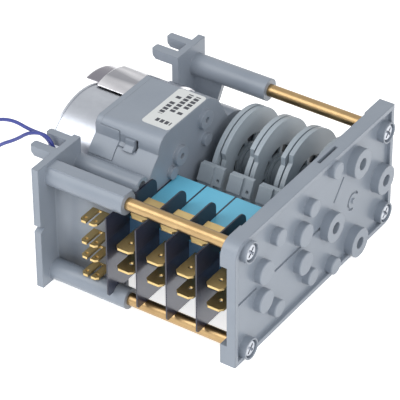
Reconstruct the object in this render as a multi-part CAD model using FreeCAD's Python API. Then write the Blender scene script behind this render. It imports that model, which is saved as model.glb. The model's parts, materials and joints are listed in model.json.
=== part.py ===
import FreeCAD, Part
import math
import os

# Cam timer: an open frame of two moulded side plates joined by four brass
# tubes. A geared motor on the left plate turns a camshaft, whose four pairs
# of cam discs work four small snap switches through swinging levers.
# Millimetres. X runs from the motor side to the right plate, Y from the
# terminal side to the back, Z up. Places are worked out from the front bottom
# corner of the left plate's outer face. The saved parts have their origin at
# the middle of the object's base, and the frame rests on Z = 0.

# frame
plate_depth = 91.6
plate_height = 45.0
left_plate_thickness = 2.5
tube_start = 31.2
tube_radius = 2.1
tube_bore_radius = 1.6
ear_thickness = 2.4
panel_thickness = 1.95
rim_height = 1.15
rim_width = 1.65
top_flange_reach = 1.9
front_top_radius = 5.0
back_bottom_cut = 2.5
screw_boss_height = 2.65
solid_boss_height = 2.65
hollow_boss_height = 3.2

# Corner fixing points, as (y, z).
front_top = (6.8, plate_height - 4.8)
front_bottom = (6.8, 3.7)
back_top = (plate_depth - 5.3, plate_height - 7.6)
back_bottom = (plate_depth - 5.1, 6.0)
corners = [front_top, front_bottom, back_top, back_bottom]

column_radius = 3.8
low_column_radius = 3.5
screw_radius = 1.45
screw_head_radius = 2.8
screw_head_height = 1.9
screw_recess_radius = 3.05
screw_recess_depth = 2.3
screw_grip = 9.0
thread_clearance = 0.05
cross_slot_width = 0.8
cross_slot_length = 3.6
cross_slot_depth = 1.2

# forks and cut-outs of the left plate
prong_reach = 8.1
prong_height = 3.5
prong_tip_chamfer = 1.6
front_fork_prongs = [(10.0, 13.1), (18.3, 21.0)]
back_fork_prongs = [
    (plate_depth - 15.6, plate_depth - 12.2), (plate_depth - 7.0, plate_depth - 4.0)]
notch_low = 21.2
notch_width = 2.4
notch_depth = 2.2
column_box_front = 4.8
column_box_back = 9.3
column_box_top = plate_height - 1.0
stack_post_place = (21.2, 36.0)
stack_post_radius = 3.1
post_bore_radius = 1.8
web_thickness = 2.2
web_height = 12.0
web_top_length = 12.0
web_foot_length = 8.6

# motor
motor_y = 43.0
motor_z = 24.6
motor_radius = 20.5
motor_reach = 12.5
motor_wall = 0.8
motor_flange_overhang = 0.25
motor_flange_thickness = 0.7
rear_can_y_offset = 12.4
rear_can_z_offset = 1.0
rear_can_radius = 20.3
rear_can_body_reach = 11.0
rear_can_body_edge_radius = 1.0
rear_can_nose_radius = 18.7
rear_can_reach = 18.0
rear_can_edge_radius = 2.5
rear_can_wall = 0.8
rear_can_inside_gap = 6.0
cut_out_clearance = 0.3

# gearbox
gearbox_length = 23.7
gearbox_wall = 1.6
drum_y = 44.5
gearbox_front_radius = 22.5
gearbox_top = 48.0
gearbox_shoulder_front = 30.4
shoulder_radius_at_base = 2.3
shoulder_radius_at_face = 5.5
gearbox_back = 58.4
gearbox_slope_run = 5.2
gearbox_slope_drop = 3.5
collar_radius = 14.7
collar_length = 8.0
base_thickness = 2.0
clip_length = 6.1
skirt_length = 9.0
clip_low = 41.0
clip_high = 44.5
clip_gap = 0.1
clip_slot = 0.9
clip_tongue_width = 3.4
clip_tongue_rise = 0.9
clip_arm_sink = 0.15
skirt_depth = 0.8
skirt_rise = 0.25
skirt_clearance = 0.1
skirt_start_angle = 123.5
skirt_end_angle = 146.0
face_boss_height = 1.5
face_bosses = [(55.4, 41.9), (41.3, 36.3)]
face_boss_radius = 3.3
face_boss_hole_radius = 1.0
face_pins = [(55.9, 34.0), (36.8, 32.2)]
face_pin_radius = 2.1
label_width = 10.4
label_length = 21.8
label_thickness = 0.15
label_corner_radius = 1.2

# camshaft and cams
cam_y = 69.4
cam_z = 20.3
bay_pitch = 11.0
first_sheet_gap = 0.3
stack_to_panel = 1.15
bay_count = 4
shaft_radius = 3.0
shaft_clearance = 0.05
shaft_end_play = 0.2
bearing_boss_radius = 5.2
bearing_depth = 1.0
cam_radius = 18.6
cam_low_radius = 16.4
cam_ring_inner_radius = 10.1
cam_hub_radius = 5.9
cam_disc_thickness = 1.6
cam_dish_depth = 0.9
cam_gap = 0.5
cam_set_back = 4.3
cam_slot_count = 8
cam_slot_span = 33.0
cam_slot_inner_radius = 6.7
cam_slot_outer_radius = 9.3
spacer_radius = 5.0
left_cam_starts = [-90.0, -140.0, -125.0, 30.0]
left_cam_spans = [300.0, 268.0, 250.0, 160.0]
right_cam_starts = [-60.0, -130.0, -120.0, 50.0]
right_cam_spans = [202.0, 262.0, 240.0, 150.0]
drop_angle = 6.0

# switches
sheet_thickness = 0.5
switch_side_gap = 0.05
switch_front = 13.5
switch_depth = 26.8
switch_low = 13.6
switch_height = 15.9
switch_edge_radius = 0.6
switch_hole_from_front = 1.8
switch_hole_from_low = 2.7
switch_hole_pitch_y = 22.5
switch_hole_pitch_z = 10.9
rod_radius = 1.25
rod_clearance = 0.05
sheet_front = 1.4
sheet_clearance = 0.3
sheet_low_depth = 14.6
sheet_high = 36.0
sheet_high_depth = 27.1
sheet_corner_radius = 3.5
sheet_tip_radius = 1.0
plunger_width = 3.0
plunger_height = 2.4
plunger_length = 6.0
plunger_proud = 1.6
plunger_clearance = 0.15
plunger_z = 20.2

tab_width = 6.3
tab_thickness = 0.8
tab_hole_radius = 0.7
tab_hole_from_tip = 4.3
tab_tip_chamfer = 1.2
tab_rooted = 3.0
middle_tab_z = 25.3
lower_tab_z = 17.5
tab_tip_y = 2.3
top_tab_z = 32.7
top_tab_tip_y = 10.0
top_tab_leg_y = 20.9

# levers
lever_width = 8.4
lever_inset = 1.9
lever_top_z = 28.8
lever_top_thickness = 1.3
lever_cam_clearance = 0.55
lever_knee_y = 48.2
lever_knee_z = 23.4
lever_pivot_y = 45.5
lever_pivot_z = 7.0
lever_boss_radius = 2.9
lever_rod_radius = 1.5
lever_rod_clearance = 0.05
lever_step = 0.9
lever_step_width = 2.8
lever_hole_radius = 0.6
lever_hole_depth = 2.0
pad_gap = 0.1
pad_height = 3.0

# plug terminals on the left
block_depth = 2.2
block_low = 3.6
block_height = 28.4
block_back = 21.7
twin_centre_x = 17.2
twin_tip_y = 4.5
twin_heights = [28.5, 20.4, 14.8, 7.9]
twin_slit = 1.2
twin_slit_length = 7.0
twin_dimple_radius = 0.5

# leads
lead_diameter = 1.2
lead_bend_share = 0.45
grommet_x = -3.6
grommet_radius = 2.9
grommet_height = 1.6
grommet_angle = 156.7
lead_spacing = 2.0
connector_width = 7.4
connector_thickness = 3.0
connector_length = 13.0
connector_slot_width = 6.5
connector_slot_height = 1.2
connector_slot_depth = 8.0

# sizes that follow from those above
gearbox_start = left_plate_thickness
gearbox_face = gearbox_start + gearbox_length
collar_start = gearbox_face - collar_length
first_sheet_x = gearbox_face + first_sheet_gap
sheet_centres = [first_sheet_x + bay_pitch * k for k in range(bay_count)]
bay_starts = [x + sheet_thickness / 2.0 for x in sheet_centres]
bay_width = bay_pitch - sheet_thickness
stack_end = bay_starts[-1] + bay_width
panel_back = stack_end + stack_to_panel
panel_face = panel_back + panel_thickness
ear_face = panel_back - ear_thickness
rim_face = panel_face + rim_height
switch_width = bay_width - 2.0 * switch_side_gap
switch_back = switch_front + switch_depth
switch_top = switch_low + switch_height
switch_holes = [
    (switch_front + switch_hole_from_front,
     switch_low + switch_hole_from_low + switch_hole_pitch_z),
    (switch_front + switch_hole_from_front + switch_hole_pitch_y,
     switch_low + switch_hole_from_low),
]
sheet_low = front_bottom[1] + tube_radius + sheet_clearance
motor_flange_radius = motor_radius + motor_flange_overhang
rear_can_y = motor_y + rear_can_y_offset
rear_can_z = motor_z + rear_can_z_offset
rear_can_end = collar_start - rear_can_inside_gap
skirt_end = gearbox_start + skirt_length
clip_end = skirt_end + clip_length

centre_x = (panel_face + hollow_boss_height - rear_can_reach) / 2.0
to_origin = FreeCAD.Vector(-centre_x, -plate_depth / 2.0, 0)

made = {}


def box(x0, x1, y0, y1, z0, z1):
    corner = FreeCAD.Vector(x0, y0, z0)
    return Part.makeBox(x1 - x0, y1 - y0, z1 - z0, corner)


def rod(radius, x0, x1, place):
    start = FreeCAD.Vector(x0, place[0], place[1])
    return Part.makeCylinder(radius, x1 - x0, start, FreeCAD.Vector(1, 0, 0))


def joined(first, others):
    shape = first
    for other in others:
        shape = shape.fuse(other)
    return shape.removeSplitter()


def less(first, others):
    shape = first
    for other in others:
        shape = shape.cut(other)
    return shape


def point(y, z, x=0.0):
    return FreeCAD.Vector(x, y, z)


def slab(edges, x0, x1):
    face = Part.Face(Part.Wire(edges))
    face.translate(FreeCAD.Vector(x0, 0, 0))
    return face.extrude(FreeCAD.Vector(x1 - x0, 0, 0))


def outline(points, x0, x1):
    corners_yz = [point(y, z) for y, z in points]
    edges = Part.makePolygon(corners_yz + corners_yz[:1]).Edges
    return slab(edges, x0, x1)


def round_edges(shape, radius, wanted):
    edges = [edge for edge in shape.Edges if wanted(edge)]
    return shape.makeFillet(radius, edges)


def runs_along(edge, axis):
    start = edge.Vertexes[0].Point
    end = edge.Vertexes[-1].Point
    gap = end.sub(start)
    if gap.Length < 1e-6 or not isinstance(edge.Curve, Part.Line):
        return False
    return abs(gap.normalize().dot(axis)) > 0.999


def save(name, shapes):
    made[name] = shapes


ALONG_X = FreeCAD.Vector(1, 0, 0)
ALONG_Z = FreeCAD.Vector(0, 0, 1)


# left plate
def fork_prong(y0, y1):
    top = plate_height
    low = top - prong_height
    tip = -prong_reach
    side = [
        FreeCAD.Vector(0.0, y0, top),
        FreeCAD.Vector(tip, y0, top),
        FreeCAD.Vector(tip, y0, low + prong_tip_chamfer),
        FreeCAD.Vector(tip + prong_tip_chamfer, y0, low),
        FreeCAD.Vector(0.0, y0, low),
    ]
    face = Part.Face(Part.makePolygon(side + side[:1]))
    prong = face.extrude(FreeCAD.Vector(0, y1 - y0, 0))

    def at_tip(edge):
        return runs_along(edge, ALONG_Z) and edge.BoundBox.XMax < tip + 0.01

    return prong.makeChamfer(0.5, [e for e in prong.Edges if at_tip(e)])


def motor_cut_out():
    clear = cut_out_clearance
    front_lobe = rod(motor_radius + clear, -1.0, gearbox_start, (motor_y, motor_z))
    back_lobe = rod(rear_can_radius + clear, -1.0, gearbox_start, (rear_can_y, rear_can_z))
    open_top = box(
        -1.0, gearbox_start,
        motor_y - motor_radius - clear, rear_can_y + rear_can_radius + clear,
        motor_z, plate_height + 1.0)
    return joined(front_lobe, [back_lobe, open_top])


def back_web():
    y, z = back_top
    x0 = left_plate_thickness
    side = [
        FreeCAD.Vector(x0, y - web_thickness / 2.0, z),
        FreeCAD.Vector(x0 + web_top_length, y - web_thickness / 2.0, z),
        FreeCAD.Vector(x0 + web_foot_length, y - web_thickness / 2.0, z - web_height),
        FreeCAD.Vector(x0, y - web_thickness / 2.0, z - web_height),
    ]
    face = Part.Face(Part.makePolygon(side + side[:1]))
    return face.extrude(FreeCAD.Vector(0, web_thickness, 0))


def make_left_plate():
    plate = box(0.0, left_plate_thickness, 0.0, plate_depth, 0.0, plate_height)
    notch_top = notch_low + notch_width
    notch = outline(
        [(-1.0, notch_low), (0.0, notch_low),
         (notch_depth, notch_low + notch_width / 2.0), (0.0, notch_top),
         (-1.0, notch_top)],
        -1.0, left_plate_thickness + 1.0)
    plate = less(plate, [notch, motor_cut_out()])
    additions = [fork_prong(y0, y1) for y0, y1 in front_fork_prongs + back_fork_prongs]
    inner = left_plate_thickness - 0.5
    for place in corners:
        low = place[1] < plate_height / 2.0
        radius = low_column_radius if low else column_radius
        additions.append(rod(radius, inner, tube_start, place))
    additions.append(box(
        inner, tube_start, column_box_front, column_box_back,
        front_top[1], column_box_top))
    post_end = sheet_centres[0] - sheet_thickness / 2.0
    additions.append(rod(stack_post_radius, inner, post_end, stack_post_place))
    additions.append(back_web())
    additions.append(box(
        inner, twin_centre_x - tab_width / 2.0 - 1.0,
        block_back - block_depth, block_back,
        block_low, block_low + block_height))
    plate = joined(plate, additions)
    bores = []
    for place in corners:
        bores.append(rod(
            screw_radius + thread_clearance, tube_start - screw_grip - 1.0,
            tube_start + 1.0, place))
    bores.append(rod(
        post_bore_radius, post_end - 6.0, post_end + 1.0, stack_post_place))
    return less(plate, bores)


# right plate
solid_bosses = [(y, z, 3.9) for y in (switch_holes[0][0], switch_holes[1][0])
                for z in (switch_holes[0][1], switch_holes[1][1])]
solid_bosses += [
    (23.3, plate_height - 9.6, 2.9), (42.4, plate_height - 10.5, 2.9),
    (42.2, 8.4, 2.9), (22.8, 8.7, 2.9), (55.9, 3.9, 2.9), (55.9, plate_height - 4.2, 2.9),
]
ear_half = 3.5
ear_margin = 0.6
screw_boss_radius = 3.6
rod_boss_radius = 3.4
mount_half_diagonal = 15.3
hollow_boss_radius = 5.0
hollow_boss_hole_radius = 2.0
mount_holes = [
    (cam_y, cam_z + mount_half_diagonal),
    (cam_y + mount_half_diagonal, cam_z),
    (cam_y, cam_z - mount_half_diagonal),
    (cam_y - mount_half_diagonal, cam_z),
]
groove_width = 0.9
groove_depth = 0.5
groove_z = 21.6
grooves = [(3.0, 10.5), (23.6, 33.5)]
slant_groove = [(63.3, 33.1), (57.6, 26.6)]
mark_radius = 3.3
mark_dot_radius = 0.9
top_slot_start = 50.9
top_slot_length = 10.6


def plate_outline(x0, x1, inset):
    low = inset
    far = plate_depth - inset
    high = plate_height - inset
    r = front_top_radius - inset
    c = back_bottom_cut
    round_y = low + r
    round_z = high - r
    middle = point(round_y - r * math.sqrt(0.5), round_z + r * math.sqrt(0.5))
    edges = [
        Part.makeLine(point(low, low), point(far - c, low)),
        Part.makeLine(point(far - c, low), point(far, low + c)),
        Part.makeLine(point(far, low + c), point(far, high)),
        Part.makeLine(point(far, high), point(round_y, high)),
        Part.Arc(point(round_y, high), middle, point(low, round_z)).toShape(),
        Part.makeLine(point(low, round_z), point(low, low)),
    ]
    return slab(edges, x0, x1)


def groove(start, end):
    length = math.hypot(end[0] - start[0], end[1] - start[1])
    turn = math.degrees(math.atan2(end[1] - start[1], end[0] - start[0]))
    cutter = box(
        panel_face - groove_depth, panel_face + 0.1,
        start[0], start[0] + length,
        start[1] - groove_width / 2.0, start[1] + groove_width / 2.0)
    cutter.rotate(point(start[0], start[1]), ALONG_X, turn)
    return cutter


def screw_seat(place):
    low_x = panel_face + screw_boss_height - screw_recess_depth
    high_x = panel_face + screw_boss_height + 1.0
    return rod(screw_recess_radius, low_x, high_x, place)


def make_right_plate():
    plate = plate_outline(panel_back, rim_face, 0.0)
    pocket = plate_outline(panel_face, rim_face + 1.0, rim_width)
    plate = less(plate, [pocket])
    ear = ear_face
    additions = []
    for y, z in corners:
        y0 = 0.0 if y < plate_depth / 2.0 else y - ear_half - ear_margin
        y1 = y + ear_half + ear_margin if y < plate_depth / 2.0 else plate_depth
        z0 = 0.0 if z < plate_height / 2.0 else z - ear_half
        z1 = z + ear_half if z < plate_height / 2.0 else plate_height
        additions.append(box(ear, panel_back + 0.5, y0, y1, z0, z1))
        additions.append(rod(
            screw_boss_radius, panel_back, panel_face + screw_boss_height, (y, z)))
    additions.append(box(
        panel_back - top_flange_reach, panel_back + 0.5, front_top_radius, plate_depth,
        plate_height - rim_width, plate_height))
    for y, z, radius in solid_bosses:
        post = rod(radius, panel_back, panel_face + solid_boss_height, (y, z))
        face_x = panel_face + solid_boss_height
        additions.append(round_edges(
            post, 0.4, lambda e: e.BoundBox.XMin > face_x - 0.01))
    for place in mount_holes:
        additions.append(rod(
            hollow_boss_radius, panel_back, panel_face + hollow_boss_height, place))
    for place in switch_holes:
        additions.append(rod(rod_boss_radius, stack_end, panel_back + 0.5, place))
    bearing_start = panel_back - bearing_depth - 1.0
    additions.append(rod(
        bearing_boss_radius, bearing_start, panel_back + 0.5, (cam_y, cam_z)))
    lever_boss_start = panel_back - 0.8
    additions.append(rod(
        lever_boss_radius, lever_boss_start, panel_back + 0.5,
        (lever_pivot_y, lever_pivot_z)))
    additions.append(rod(
        mark_dot_radius, panel_face - 0.5, panel_face + 0.4, (cam_y, cam_z)))
    plate = joined(plate, additions)
    corner = less(
        box(ear - 1.0, panel_back + 0.6, -1.0, front_top_radius,
            plate_height - front_top_radius, plate_height + 1.0),
        [rod(front_top_radius, ear - 1.0, panel_back + 0.6,
             (front_top_radius, plate_height - front_top_radius))])
    cuts = [corner]
    for place in corners:
        cuts.append(screw_seat(place))
        cuts.append(rod(
            tube_bore_radius, ear - 1.0, panel_face + screw_boss_height, place))
    for place in mount_holes:
        cuts.append(rod(
            hollow_boss_hole_radius, panel_back - 1.0,
            panel_face + hollow_boss_height + 1.0, place))
    for y0, length in grooves:
        cuts.append(groove((y0, groove_z), (y0 + length, groove_z)))
    cuts.append(groove(slant_groove[0], slant_groove[1]))
    ring = less(
        rod(mark_radius, panel_face - 0.4, panel_face + 0.1, (cam_y, cam_z)),
        [rod(mark_radius - 0.7, panel_face - 1.0, panel_face + 0.5, (cam_y, cam_z)),
         box(panel_face - 1.0, panel_face + 0.5, cam_y, cam_y + 5.0,
             cam_z - 5.0, cam_z + 1.2)])
    cuts.append(ring)
    cuts.append(box(
        panel_back - 0.6, panel_back + 0.6, top_slot_start,
        top_slot_start + top_slot_length, plate_height - rim_width - 0.2,
        plate_height + 1.0))
    for place in switch_holes:
        cuts.append(rod(
            rod_radius + rod_clearance, stack_end - 1.0,
            panel_back + bearing_depth + 0.2, place))
    cuts.append(rod(
        shaft_radius + shaft_clearance, bearing_start - 1.0,
        panel_back + bearing_depth, (cam_y, cam_z)))
    cuts.append(rod(
        lever_rod_radius + lever_rod_clearance, lever_boss_start - 1.0,
        panel_back + bearing_depth, (lever_pivot_y, lever_pivot_z)))
    return less(plate, cuts)


# tubes and screws
def make_tube(place):
    tube = rod(tube_radius, tube_start, ear_face, place)
    return less(tube, [rod(tube_bore_radius, tube_start - 1.0, ear_face + 1.0, place)])


def make_screw(place):
    seat = panel_face + screw_boss_height - screw_recess_depth
    head = rod(screw_head_radius, seat, seat + screw_head_height, place)
    face_x = seat + screw_head_height
    head = round_edges(head, 0.7, lambda e: e.BoundBox.XMin > face_x - 0.01)
    shank = rod(screw_radius, tube_start - screw_grip, seat + 0.1, place)
    screw = joined(head, [shank])
    y, z = place
    for turn in (45.0, 135.0):
        slot = box(
            face_x - cross_slot_depth, face_x + 0.1,
            y - cross_slot_length / 2.0, y + cross_slot_length / 2.0,
            z - cross_slot_width / 2.0, z + cross_slot_width / 2.0)
        slot.rotate(point(y, z), ALONG_X, turn)
        screw = screw.cut(slot)
    return screw


# motor
def make_motor_can():
    end = gearbox_start
    axis = (motor_y, motor_z)
    can = rod(motor_radius, -motor_reach, end, axis)
    flange = rod(
        motor_flange_radius, -motor_reach, -motor_reach + motor_flange_thickness, axis)
    cap = rod(5.0, -motor_reach - 0.8, -motor_reach, axis)
    hollow = rod(motor_radius - motor_wall, -motor_reach + motor_wall, end + 1.0, axis)
    return less(joined(can, [flange, cap]), [hollow])


def rear_can_solid(shrink):
    axis = (rear_can_y, rear_can_z)
    sections = [
        (rear_can_nose_radius, rear_can_reach, rear_can_edge_radius),
        (rear_can_radius, rear_can_body_reach, rear_can_body_edge_radius),
    ]
    parts = []
    for radius, reach, edge_radius in sections:
        front = shrink - reach
        can = rod(radius - shrink, front, rear_can_end - shrink, axis)
        parts.append(round_edges(
            can, max(edge_radius - shrink, 0.2), lambda e: e.BoundBox.XMax < front + 0.01))
    return joined(parts[0], parts[1:])


def rear_can_limits(grow):
    front_can = rod(
        motor_flange_radius + cut_out_clearance + grow, -rear_can_reach - 1.0,
        gearbox_start + 1.0, (motor_y, motor_z))
    gearbox_side = box(
        gearbox_start + grow / 10.0, rear_can_end + 1.0,
        rear_can_y - rear_can_radius - 1.0, gearbox_back + cut_out_clearance + grow,
        rear_can_z - rear_can_radius - 1.0, rear_can_z + rear_can_radius + 1.0)
    return [front_can, gearbox_side]


def make_rear_can():
    outer = less(rear_can_solid(0.0), rear_can_limits(0.0))
    inner = less(rear_can_solid(rear_can_wall), rear_can_limits(rear_can_wall))
    return less(outer, [inner])


# gearbox
def shoulder_radius(x):
    growth = (shoulder_radius_at_face - shoulder_radius_at_base) / gearbox_length
    return shoulder_radius_at_base + growth * (x - gearbox_start)


def gearbox_profile(x0, x1, inset):
    drum = rod(gearbox_front_radius - inset, x0, x1, (drum_y, motor_z))
    front = gearbox_shoulder_front + inset
    shoulder = box(
        x0, x1, front, gearbox_back - inset,
        motor_z - gearbox_front_radius + inset + 3.0, gearbox_top - inset)

    def upper_front(edge):
        box_of = edge.BoundBox
        return (runs_along(edge, ALONG_X) and box_of.ZMin > gearbox_top - inset - 0.01
                and box_of.YMax < front + 0.01)

    edge = [e for e in shoulder.Edges if upper_front(e)][0]
    start_radius = shoulder_radius(edge.valueAt(edge.FirstParameter).x) - inset
    end_radius = shoulder_radius(edge.valueAt(edge.LastParameter).x) - inset
    shoulder = shoulder.makeFillet(start_radius, end_radius, [edge])
    profile = joined(drum, [shoulder])
    behind = box(
        x0 - 1.0, x1 + 1.0, gearbox_back - inset, gearbox_back + 40.0, -5.0, 60.0)
    return less(profile, [behind])


def collar_profile(x0, x1, inset):
    collar = rod(collar_radius - inset, x0, x1, (cam_y, cam_z))
    top = gearbox_top - inset
    back = gearbox_back + gearbox_slope_run
    bridge = outline(
        [(gearbox_back - 6.0, cam_z - collar_radius + inset + 2.0),
         (cam_y, cam_z - collar_radius + inset),
         (cam_y + collar_radius * 0.6, cam_z),
         (back - inset, gearbox_top - gearbox_slope_drop - inset),
         (gearbox_back, top), (gearbox_back - 6.0, top)],
        x0, x1)
    return joined(collar, [bridge])


def layer(x0, x1, rise, depth):
    outer = gearbox_profile(x0, x1, -rise)
    return less(outer, [gearbox_profile(x0 - 1.0, x1 + 1.0, depth)])


def skirt_room(x0, x1, grow):
    reach = gearbox_front_radius + 8.0
    slack = math.degrees(grow / gearbox_front_radius)
    start = skirt_start_angle - slack
    end = skirt_end_angle + slack
    corners_yz = [(drum_y, motor_z)]
    for angle in (start, (start + end) / 2.0, end):
        turn = math.radians(angle)
        corners_yz.append((drum_y + reach * math.cos(turn), motor_z + reach * math.sin(turn)))
    return outline(corners_yz, x0, x1)


def clip_room(x0, x1, grow):
    return box(x0, x1, 0.0, drum_y, clip_low - grow, clip_high + grow)


def make_gearbox_case():
    x0 = gearbox_start + base_thickness
    x1 = gearbox_face
    case = gearbox_profile(x0, x1, 0.0)
    case = joined(case, [collar_profile(collar_start, x1, 0.0)])
    hollow = gearbox_profile(x0 - 1.0, x1 - gearbox_wall, gearbox_wall)
    nook = collar_profile(collar_start + gearbox_wall, x1 - gearbox_wall, gearbox_wall)
    passage = box(
        collar_start + gearbox_wall, x1 - gearbox_wall, gearbox_back - gearbox_wall - 3.0,
        gearbox_back + 2.0, cam_z - 8.0, cam_z + 8.0)
    case = less(case, [hollow, nook, passage])
    face_x = x1 + face_boss_height
    additions = [rod(face_boss_radius, x1 - 0.5, face_x, p) for p in face_bosses]
    additions += [rod(face_pin_radius, x1 - 0.5, face_x, p) for p in face_pins]
    rod_seat = 3.6
    rod_place = switch_holes[1]
    additions.append(rod(rod_seat, x1 - gearbox_wall - 2.0, x1, rod_place))
    additions.append(rod(
        rod_seat, x1 - gearbox_wall - 2.0, x1, (lever_pivot_y, lever_pivot_z)))
    additions.append(rod(
        bearing_boss_radius, collar_start, x1 + face_boss_height, (cam_y, cam_z)))
    case = joined(case, additions)
    cuts = [rod(face_boss_hole_radius, x1 - 3.0, face_x + 1.0, p) for p in face_bosses]
    cuts.append(rod(rod_radius + rod_clearance, x1 - 2.0, x1 + 1.0, rod_place))
    cuts.append(rod(
        lever_rod_radius + lever_rod_clearance, x1 - 2.0, x1 + 1.0,
        (lever_pivot_y, lever_pivot_z)))
    cuts.append(rod(
        shaft_radius + shaft_clearance, collar_start + gearbox_wall,
        x1 + face_boss_height + 1.0, (cam_y, cam_z)))
    clear = skirt_clearance
    recess = layer(x0 - 0.1, skirt_end + clear, 1.0, skirt_depth + clear)
    cuts.append(recess.common(skirt_room(x0 - 0.1, skirt_end + clear, clear)))
    track = layer(skirt_end, clip_end + clip_slot, 1.0, skirt_depth + clear)
    cuts.append(track.common(clip_room(skirt_end, clip_end + clip_slot, clip_gap)))
    window = layer(clip_end, clip_end + clip_slot, 1.0, gearbox_wall + 0.3)
    cuts.append(window.common(clip_room(clip_end, clip_end + clip_slot, clip_gap)))
    return less(case, cuts)


def make_gearbox_base():
    x0 = gearbox_start
    x1 = x0 + base_thickness
    base = gearbox_profile(x0, x1, 0.0)
    skirt = layer(x0, skirt_end, skirt_rise, skirt_depth)
    skirt = skirt.common(skirt_room(x0, skirt_end, 0.0))
    arm = layer(skirt_end - 0.1, clip_end, -clip_arm_sink, skirt_depth)
    tongue = layer(clip_end - clip_tongue_width, clip_end, clip_tongue_rise, skirt_depth)
    room = clip_room(skirt_end - 0.1, clip_end, 0.0)
    return joined(base, [skirt, arm.common(room), tongue.common(room)])


def make_label():
    x1 = gearbox_face - 0.3
    y1 = gearbox_back - 0.4
    plate = box(
        x1 - label_width, x1, y1 - label_length, y1,
        gearbox_top, gearbox_top + label_thickness)
    return round_edges(plate, label_corner_radius, lambda e: runs_along(e, ALONG_Z))


# camshaft and cams
cam_stack_start = gearbox_face + face_boss_height + 0.3
cam_pairs = []
for bay in range(bay_count):
    first = bay_starts[bay] + cam_set_back
    cam_pairs.append((first, first + cam_disc_thickness + cam_gap))
cam_stack_end = panel_back - bearing_depth - 1.3


def make_camshaft():
    start = collar_start + gearbox_wall + shaft_end_play
    end = panel_back + bearing_depth - shaft_end_play
    return rod(shaft_radius, start, end, (cam_y, cam_z))


def cam_edge(radius, start, end):
    points = []
    for angle in (start, (start + end) / 2.0, end):
        turn = math.radians(angle)
        points.append(point(
            cam_y + radius * math.cos(turn), cam_z + radius * math.sin(turn)))
    return Part.Arc(points[0], points[1], points[2]).toShape()


def cam_slot(x0, x1, start):
    end = start + cam_slot_span
    outer = cam_edge(cam_slot_outer_radius, start, end)
    inner = cam_edge(cam_slot_inner_radius, end, start)
    down = Part.makeLine(outer.Vertexes[-1].Point, inner.Vertexes[0].Point)
    up = Part.makeLine(inner.Vertexes[-1].Point, outer.Vertexes[0].Point)
    return slab([outer, down, inner, up], x0, x1)


def make_cam(x0, start, span, dish):
    x1 = x0 + cam_disc_thickness
    high_end = start + span
    rise = high_end + drop_angle
    low_end = start + 360.0 - drop_angle
    high = cam_edge(cam_radius, start, high_end)
    low = cam_edge(cam_low_radius, rise, low_end)
    down = Part.makeLine(high.Vertexes[-1].Point, low.Vertexes[0].Point)
    up = Part.makeLine(low.Vertexes[-1].Point, high.Vertexes[0].Point)
    disc = slab([high, down, low, up], x0, x1)
    axis = (cam_y, cam_z)
    dish_start, dish_end = dish
    disc = less(disc, [less(
        rod(cam_ring_inner_radius, x0 + dish_start, x0 + dish_end, axis),
        [rod(cam_hub_radius, x0 - 1.0, x1 + 1.0, axis)])])
    holes = [rod(shaft_radius + shaft_clearance, x0 - 1.0, x1 + 1.0, axis)]
    for k in range(cam_slot_count):
        middle = start + 360.0 * k / cam_slot_count
        holes.append(cam_slot(x0 - 1.0, x1 + 1.0, middle - cam_slot_span / 2.0))
    return less(disc, holes)


def make_cam_spacers():
    edges_x = [cam_stack_start]
    for first, second in cam_pairs:
        edges_x += [first, first + cam_disc_thickness, second, second + cam_disc_thickness]
    edges_x.append(cam_stack_end)
    axis = (cam_y, cam_z)
    sleeves = []
    for a, b in zip(edges_x[0::2], edges_x[1::2]):
        sleeve = rod(spacer_radius, a, b, axis)
        sleeves.append(less(
            sleeve, [rod(shaft_radius + shaft_clearance, a - 1.0, b + 1.0, axis)]))
    return sleeves


# switches
def make_switch(bay):
    x0 = bay_starts[bay] + switch_side_gap
    x1 = x0 + switch_width
    body = box(x0, x1, switch_front, switch_back, switch_low, switch_top)
    body = round_edges(body, switch_edge_radius, lambda e: runs_along(e, ALONG_X))
    centre = (x0 + x1) / 2.0
    cuts = [rod(rod_radius + rod_clearance, x0 - 1.0, x1 + 1.0, p) for p in switch_holes]
    half_w = plunger_width / 2.0 + plunger_clearance
    half_h = plunger_height / 2.0 + plunger_clearance
    cuts.append(box(
        centre - half_w, centre + half_w, switch_back - plunger_length - 1.2,
        switch_back + 1.0, plunger_z - half_h, plunger_z + half_h))
    for z in (middle_tab_z, lower_tab_z):
        cuts.append(box(
            centre - tab_width / 2.0, centre + tab_width / 2.0, switch_front - 1.0,
            switch_front + tab_rooted, z - tab_thickness / 2.0, z + tab_thickness / 2.0))
    cuts.append(box(
        centre - tab_width / 2.0, centre + tab_width / 2.0,
        top_tab_leg_y - tab_thickness, top_tab_leg_y,
        switch_top - tab_rooted, switch_top + 1.0))
    return less(body, cuts)


def make_plunger(bay):
    centre = bay_starts[bay] + bay_width / 2.0
    start = switch_back + plunger_proud - plunger_length
    pin = box(
        centre - plunger_width / 2.0, centre + plunger_width / 2.0,
        start, start + plunger_length,
        plunger_z - plunger_height / 2.0, plunger_z + plunger_height / 2.0)
    tip = start + plunger_length

    def at_tip(edge):
        return runs_along(edge, ALONG_X) and edge.BoundBox.YMin > tip - 0.01

    return round_edges(pin, 0.8, at_tip)


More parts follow.
